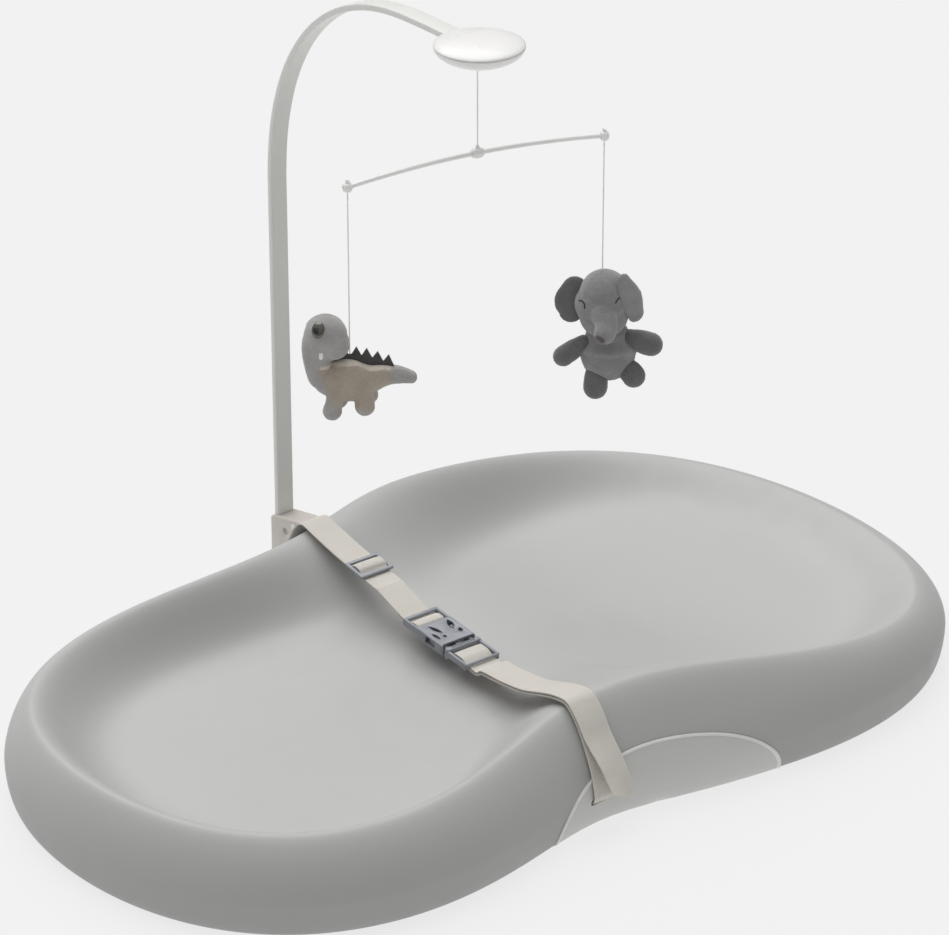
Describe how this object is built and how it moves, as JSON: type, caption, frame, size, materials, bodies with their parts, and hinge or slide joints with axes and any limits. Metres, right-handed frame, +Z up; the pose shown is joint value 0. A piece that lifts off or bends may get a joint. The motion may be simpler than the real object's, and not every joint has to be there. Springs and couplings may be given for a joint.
{
  "type": "changing pad",
  "caption": "Moulded foam changing tray with raised rim, low waist seat, buckled safety strap and a plug-in arch carrying a hanging mobile with a dinosaur and an elephant.",
  "frame": {"origin": "on the flat underside of the pad, plumb below the mobile's axis", "axes": "+X along the pad towards its wider end, +Y across the pad towards the side that carries the arch, +Z up"},
  "size_m": [0.7822, 0.4762, 0.5482],
  "materials": {
    "pad_foam": "smooth skinned moulded foam, warm light grey",
    "strap_plate": "fine matt moulded plastic, light warm grey",
    "webbing": "woven cream webbing",
    "grey_plastic": "satin mid grey moulded plastic",
    "beige_plastic": "satin light beige moulded plastic",
    "arch_grey": "satin grey plastic strip",
    "white_plastic": "smooth white plastic",
    "steel": "bright steel",
    "string": "white twisted string",
    "dino_grey": "short pile plush, warm grey",
    "dino_beige": "short pile plush, beige brown",
    "felt": "dark grey felt",
    "eye": "shiny dark eye",
    "elephant_grey": "short pile plush, mid grey"
  },
  "bodies": {
    "pad": {"pad_body": "pad_foam", "front_plate": "strap_plate", "rear_plate": "strap_plate", "front_anchor_rod": "steel", "rear_anchor_rod": "steel", "pole_socket": "beige_plastic", "socket_screw": "steel", "rear_webbing": "webbing", "front_webbing": "webbing", "buckle_female": "grey_plastic"},
    "lock_button": {"lock_button": "white_plastic"},
    "arch": {"arch_strip": "arch_grey", "housing_top": "white_plastic", "housing_bottom": "white_plastic", "housing_screw_1": "steel", "housing_screw_2": "steel"},
    "swivel": {"swivel_eyelet": "white_plastic"},
    "mobile": {"centre_string": "string", "centre_bead": "white_plastic", "mobile_bar": "white_plastic", "dino_bead": "white_plastic", "elephant_bead": "white_plastic"},
    "dino_line": {"dino_string": "string"},
    "dinosaur": {"dino_body": "dino_beige", "dino_head": "dino_grey", "dino_spikes": "felt", "dino_eye_near": "eye", "dino_eye_far": "eye"},
    "elephant_line": {"elephant_string": "string"},
    "elephant": {"elephant_head": "elephant_grey", "elephant_body": "elephant_grey", "elephant_arm_left": "elephant_grey", "elephant_arm_right": "elephant_grey", "elephant_leg_left": "elephant_grey", "elephant_leg_right": "elephant_grey", "elephant_ear_left": "elephant_grey", "elephant_ear_right": "elephant_grey"},
    "buckle_plug": {"buckle_male": "grey_plastic"},
    "tri_glide": {"tri_glide": "grey_plastic", "glide_loop": "webbing"}
  },
  "joints": [
    {"name": "arch_lift", "type": "slide", "parent": "pad", "child": "arch", "axis": [0, 0, 1], "range_m": [0, 0.06]},
    {"name": "button_press", "type": "slide", "parent": "pad", "child": "lock_button", "axis": [1, 0, 0], "range_m": [0, 0.0015], "stiffness_N_per_m": 400},
    {"name": "swivel_turn", "type": "hinge", "parent": "arch", "child": "swivel", "pos_m": [0, 0.002, 0.5218], "axis": [0, 0, 1], "continuous": true},
    {"name": "mobile_tilt", "type": "hinge", "parent": "swivel", "child": "mobile", "pos_m": [0, 0.002, 0.5218], "axis": [0.2284, 0.9736, 0], "range_deg": [-8, 8]},
    {"name": "dino_swing", "type": "hinge", "parent": "mobile", "child": "dino_line", "pos_m": [-0.10174, 0.02586, 0.44778], "axis": [0.9736, -0.2284, 0], "range_deg": [-15, 15]},
    {"name": "dino_turn", "type": "hinge", "parent": "dino_line", "child": "dinosaur", "pos_m": [-0.10174, 0.02586, 0.32], "axis": [0, 0, 1], "continuous": true},
    {"name": "elephant_swing", "type": "hinge", "parent": "mobile", "child": "elephant_line", "pos_m": [0.10174, -0.02186, 0.44778], "axis": [0.9736, -0.2284, 0], "range_deg": [-15, 15]},
    {"name": "elephant_turn", "type": "hinge", "parent": "elephant_line", "child": "elephant", "pos_m": [0.10174, -0.02186, 0.3433], "axis": [0, 0, 1], "continuous": true},
    {"name": "buckle_release", "type": "slide", "parent": "pad", "child": "buckle_plug", "axis": [-0.0508, -0.9968, -0.061], "range_m": [0, 0.036], "deforming": ["front_webbing"]},
    {"name": "glide_adjust", "type": "slide", "parent": "pad", "child": "tri_glide", "axis": [0.0505, 0.9902, 0.1305], "range_m": [-0.012, 0.012]}
  ]
}
